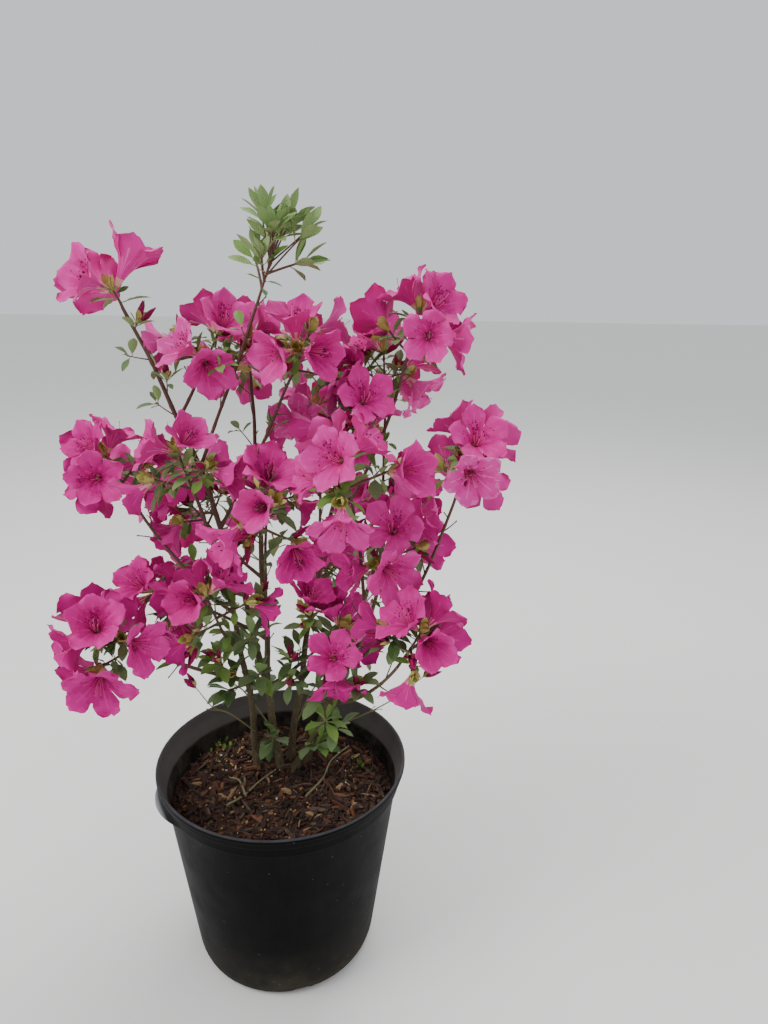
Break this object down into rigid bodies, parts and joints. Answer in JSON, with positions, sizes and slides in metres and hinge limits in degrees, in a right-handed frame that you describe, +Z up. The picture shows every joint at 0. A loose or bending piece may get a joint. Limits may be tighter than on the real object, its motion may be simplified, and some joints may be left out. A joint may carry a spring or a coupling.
{
  "type": "azalea shrub in nursery pot",
  "caption": "Flowering azalea shrub with slender stems from one clump, blossom and leaf shoots at the limb tips, in a tapered black nursery pot of bark mix.",
  "frame": {"origin": "centre of the pot's flat underside", "axes": "+Z up along the pot's axis, -Y towards the side that the picture shows"},
  "size_m": [0.488, 0.3838, 0.8418],
  "materials": {
    "pot": "dusty black moulded polyethylene",
    "soil": "moist shredded bark and fines",
    "bark": "thin olive brown bark, finely fissured",
    "blossom": "satin petals with darker specks",
    "foliage": "matte leaf, softly hairy"
  },
  "bodies": {
    "root": {"pot": "pot", "soil": "soil", "stem_left": "bark", "stem_middle": "bark", "stem_right": "bark", "stem_upright": "bark", "stem_back_left": "bark", "stem_back_right": "bark", "bough_left_inner": "bark", "bough_left_outer": "bark", "bough_left_high": "bark", "bough_left_low": "bark", "bough_front_low": "bark", "bough_front_middle": "bark", "bough_high_middle": "bark", "bough_leafy_top": "bark", "bough_right_low": "bark", "bough_right_outer": "bark", "bough_front_right": "bark", "bough_right_high": "bark", "bough_back_middle": "bark", "bough_back_left": "bark", "bough_back_left_low": "bark", "bough_back_outer": "bark", "bough_back_right_low": "bark", "bough_back_right_high": "bark", "bloom_left_middle": "blossom", "bloom_left_inner": "blossom", "bloom_left_outer": "blossom", "bloom_left_high": "blossom", "bloom_left_top": "blossom", "bloom_left_low": "blossom", "bloom_front_low": "blossom", "bloom_front_middle": "blossom", "bloom_high_middle": "blossom", "leaves_leafy_top": "foliage", "bloom_right_middle": "blossom", "bloom_right_low": "blossom", "bloom_right_outer": "blossom", "bloom_front_right": "blossom", "bloom_upright_high": "blossom", "bloom_right_high": "blossom", "bloom_back_middle": "blossom", "bloom_back_high": "blossom", "bloom_back_left": "blossom", "bloom_back_left_low": "blossom", "bloom_back_outer": "blossom", "bloom_back_right": "blossom", "bloom_back_right_low": "blossom", "bloom_back_right_high": "blossom", "leaves_tuft_left": "foliage", "leaves_tuft_middle": "foliage", "leaves_tuft_foot": "foliage", "leaves_tuft_inner": "foliage", "leaves_tuft_front_right": "foliage", "leaves_tuft_back": "foliage", "leaves_tuft_back_side": "foliage"}
  },
  "joints": []
}
